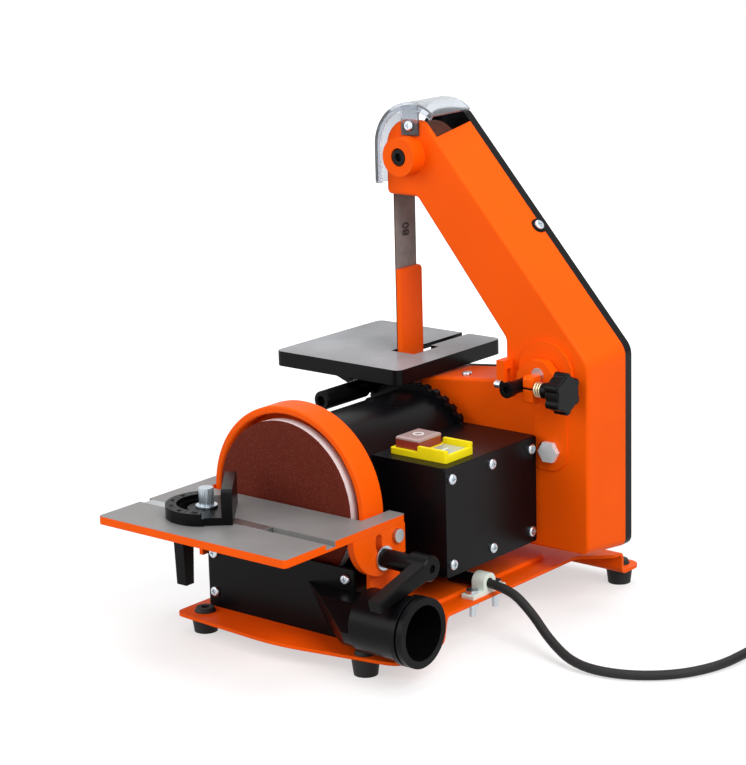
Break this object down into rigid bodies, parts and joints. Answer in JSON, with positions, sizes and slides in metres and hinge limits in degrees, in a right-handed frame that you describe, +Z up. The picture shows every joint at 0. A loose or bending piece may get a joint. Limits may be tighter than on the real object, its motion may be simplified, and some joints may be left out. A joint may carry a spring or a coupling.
{
  "type": "bench belt and disc sander",
  "caption": "Bench sander with a narrow abrasive belt over three wheels, a sanding disc on the same motor, tilting tables, mitre gauge and dust port.",
  "frame": {"origin": "on the floor, in the middle of the box round the machine without its lead", "axes": "+Z up; the motor axis runs along Y with the sanding disc towards -Y and the belt housing at +Y; the switch box and dust port are on the +X side"},
  "size_m": [0.5122, 0.364, 0.381],
  "materials": {
    "orange_paint": "satin",
    "rubber": "matte",
    "motor_black": "satin",
    "core_steel": "rough",
    "steel": "brushed",
    "screw_steel": "polished",
    "pin_brass": "polished",
    "disc_alloy": "turned",
    "abrasive": "gritty",
    "black_plastic": "fine grain",
    "table_alloy": "ground",
    "trunnion_steel": "satin",
    "nylon": "satin",
    "spring_steel": "drawn wire",
    "yellow_plastic": "gloss",
    "red_plastic": "gloss",
    "green_plastic": "gloss",
    "clear": "clear",
    "cord_black": "matte"
  },
  "bodies": {
    "frame": {"abrasive_belt": "abrasive", "base_plate": "orange_paint", "belt_housing": "orange_paint", "box_screws": "screw_steel", "box_side_cover": "motor_black", "cable_clamp": "nylon", "clamp_screws": "screw_steel", "clear_hood": "clear", "cord_coil": "cord_black", "cord_gland": "cord_black", "cord_tie": "cord_black", "disc_guard": "orange_paint", "dust_shroud": "black_plastic", "housing_screws": "screw_steel", "lock_studs": "steel", "motor_bearings": "steel", "motor_front_bell": "motor_black", "motor_mount": "motor_black", "motor_rear_bell": "motor_black", "motor_shell": "motor_black", "platen": "orange_paint", "plug": "cord_black", "plug_pins": "pin_brass", "power_cord": "cord_black", "rear_cover": "black_plastic", "rubber_feet": "rubber", "shroud_screws": "screw_steel", "stator": "core_steel", "switch_box": "motor_black", "switch_frame": "yellow_plastic", "table_brackets": "orange_paint", "table_pivots": "steel", "upper_axle": "steel"},
    "spindle": {"rotor_shaft": "steel", "rotor_core": "core_steel", "sanding_disc": "disc_alloy", "abrasive_disc": "abrasive", "drive_wheel": "disc_alloy"},
    "upper_wheel": {"upper_wheel": "disc_alloy", "upper_bearing": "steel"},
    "tension_arm": {"tension_arm": "steel", "rear_axle": "steel", "tension_block": "orange_paint", "tension_rod": "black_plastic", "tension_spring": "spring_steel"},
    "rear_wheel": {"rear_wheel": "disc_alloy", "rear_bearing": "steel"},
    "tracking_knob": {"tracking_knob": "black_plastic"},
    "belt_table": {"belt_table_top": "table_alloy", "belt_table_trunnion": "trunnion_steel"},
    "lock_rod": {"lock_rod": "black_plastic"},
    "disc_table": {"disc_table_plate": "table_alloy", "table_trunnions": "orange_paint"},
    "left_lever": {"left_lever": "black_plastic"},
    "right_lever": {"right_lever": "black_plastic"},
    "mitre_bar": {"mitre_bar": "steel"},
    "mitre_head": {"mitre_head": "black_plastic"},
    "mitre_knob": {"mitre_knob": "steel"},
    "stop_button": {"stop_button": "red_plastic"},
    "start_button": {"start_button": "green_plastic"}
  },
  "joints": [
    {"name": "spindle_spin", "type": "hinge", "parent": "frame", "child": "spindle", "pos_m": [-0.02265, 0.018, 0.105], "axis": [0, 1, 0], "continuous": true},
    {"name": "upper_wheel_spin", "type": "hinge", "parent": "frame", "child": "upper_wheel", "pos_m": [-0.02965, 0.1057, 0.33963], "axis": [0, 1, 0], "continuous": true},
    {"name": "tension_swing", "type": "hinge", "parent": "frame", "child": "tension_arm", "pos_m": [0.09685, 0.0834, 0.187], "axis": [0, 1, 0], "range_deg": [0, 6], "stiffness_Nm_per_rad": 3, "springref_deg": -6.88},
    {"name": "rear_wheel_spin", "type": "hinge", "parent": "tension_arm", "child": "rear_wheel", "pos_m": [0.09995, 0.1057, 0.1265], "axis": [0, 1, 0], "continuous": true},
    {"name": "tracking_turn", "type": "hinge", "parent": "tension_arm", "child": "tracking_knob", "pos_m": [0.11885, 0.064, 0.1785], "axis": [1, 0, 0], "range_deg": [-180, 180]},
    {"name": "belt_table_tilt", "type": "hinge", "parent": "frame", "child": "belt_table", "pos_m": [-0.05865, 0.077, 0.1735], "axis": [0, -1, 0], "range_deg": [0, 30]},
    {"name": "lock_rod_turn", "type": "hinge", "parent": "frame", "child": "lock_rod", "pos_m": [-0.06665, 0.077, 0.156], "axis": [0, 1, 0], "range_deg": [-180, 180]},
    {"name": "disc_table_tilt", "type": "hinge", "parent": "frame", "child": "disc_table", "pos_m": [-0.02265, -0.062, 0.093], "axis": [1, 0, 0], "range_deg": [0, 45]},
    {"name": "left_lever_turn", "type": "hinge", "parent": "frame", "child": "left_lever", "pos_m": [-0.11475, -0.077, 0.08], "axis": [-1, 0, 0], "range_deg": [0, 90]},
    {"name": "right_lever_turn", "type": "hinge", "parent": "frame", "child": "right_lever", "pos_m": [0.06945, -0.077, 0.08], "axis": [-1, 0, 0], "range_deg": [0, 90]},
    {"name": "mitre_slide", "type": "slide", "parent": "disc_table", "child": "mitre_bar", "axis": [1, 0, 0], "range_m": [-0.04, 0.058]},
    {"name": "mitre_swing", "type": "hinge", "parent": "mitre_bar", "child": "mitre_head", "pos_m": [-0.04965, -0.134, 0.1061], "axis": [0, 0, 1], "range_deg": [-99, 21]},
    {"name": "mitre_knob_turn", "type": "hinge", "parent": "mitre_bar", "child": "mitre_knob", "pos_m": [-0.04965, -0.134, 0.1061], "axis": [0, 0, 1], "range_deg": [-180, 180]},
    {"name": "stop_press", "type": "slide", "parent": "frame", "child": "stop_button", "axis": [0, 0, -1], "range_m": [0, 0.003], "stiffness_N_per_m": 600, "springref_m": -0.001},
    {"name": "start_press", "type": "slide", "parent": "frame", "child": "start_button", "axis": [0, 0, -1], "range_m": [0, 0.003], "stiffness_N_per_m": 600, "springref_m": -0.001}
  ],
  "couplings": [
    {"joint": "upper_wheel_spin", "follows": "spindle_spin", "ratio": 1.3256},
    {"joint": "rear_wheel_spin", "follows": "spindle_spin", "ratio": 1.2955}
  ]
}
